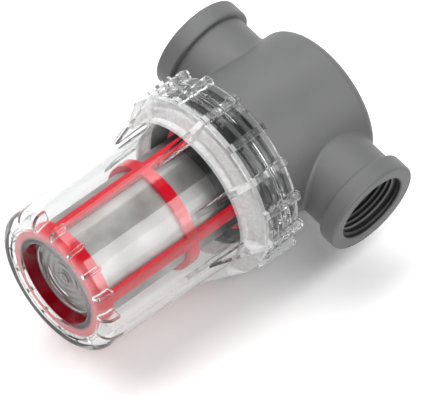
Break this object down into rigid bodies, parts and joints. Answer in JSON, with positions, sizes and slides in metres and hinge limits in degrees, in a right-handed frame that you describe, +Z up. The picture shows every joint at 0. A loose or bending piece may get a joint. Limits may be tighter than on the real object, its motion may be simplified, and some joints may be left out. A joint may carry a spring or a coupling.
{
  "type": "inline strainer",
  "caption": "Inline liquid strainer: grey head with two threaded ports in line, and a clear screw-on bowl with grip ribs round a red cage that carries a steel mesh sleeve.",
  "frame": {"origin": "on the bowl's axis, at the plane that the bowl's foot stands on", "axes": "+Z up the bowl's axis towards the head, +X out of the inlet port"},
  "size_m": [0.0892, 0.0714, 0.1231],
  "materials": {
    "head_plastic": "satin moulded",
    "clear_plastic": "clear polished",
    "seal_rubber": "smooth",
    "cage_plastic": "glossy moulded",
    "mesh_steel": "woven wire"
  },
  "bodies": {
    "head": {"head": "head_plastic"},
    "strainer": {"strainer_cage": "cage_plastic", "strainer_mesh": "mesh_steel"},
    "bowl": {"bowl": "clear_plastic", "bowl_o_ring": "seal_rubber"}
  },
  "joints": [
    {"name": "bowl_travel", "type": "slide", "parent": "head", "child": "strainer", "axis": [0, 0, -1], "range_m": [0, 0.01]},
    {"name": "bowl_turn", "type": "hinge", "parent": "strainer", "child": "bowl", "pos_m": [0, 0, 0.07], "axis": [0, 0, -1], "range_deg": [0, 900]}
  ],
  "couplings": [
    {"joint": "bowl_travel", "follows": "bowl_turn", "m_per_rad": 0.00063662}
  ]
}
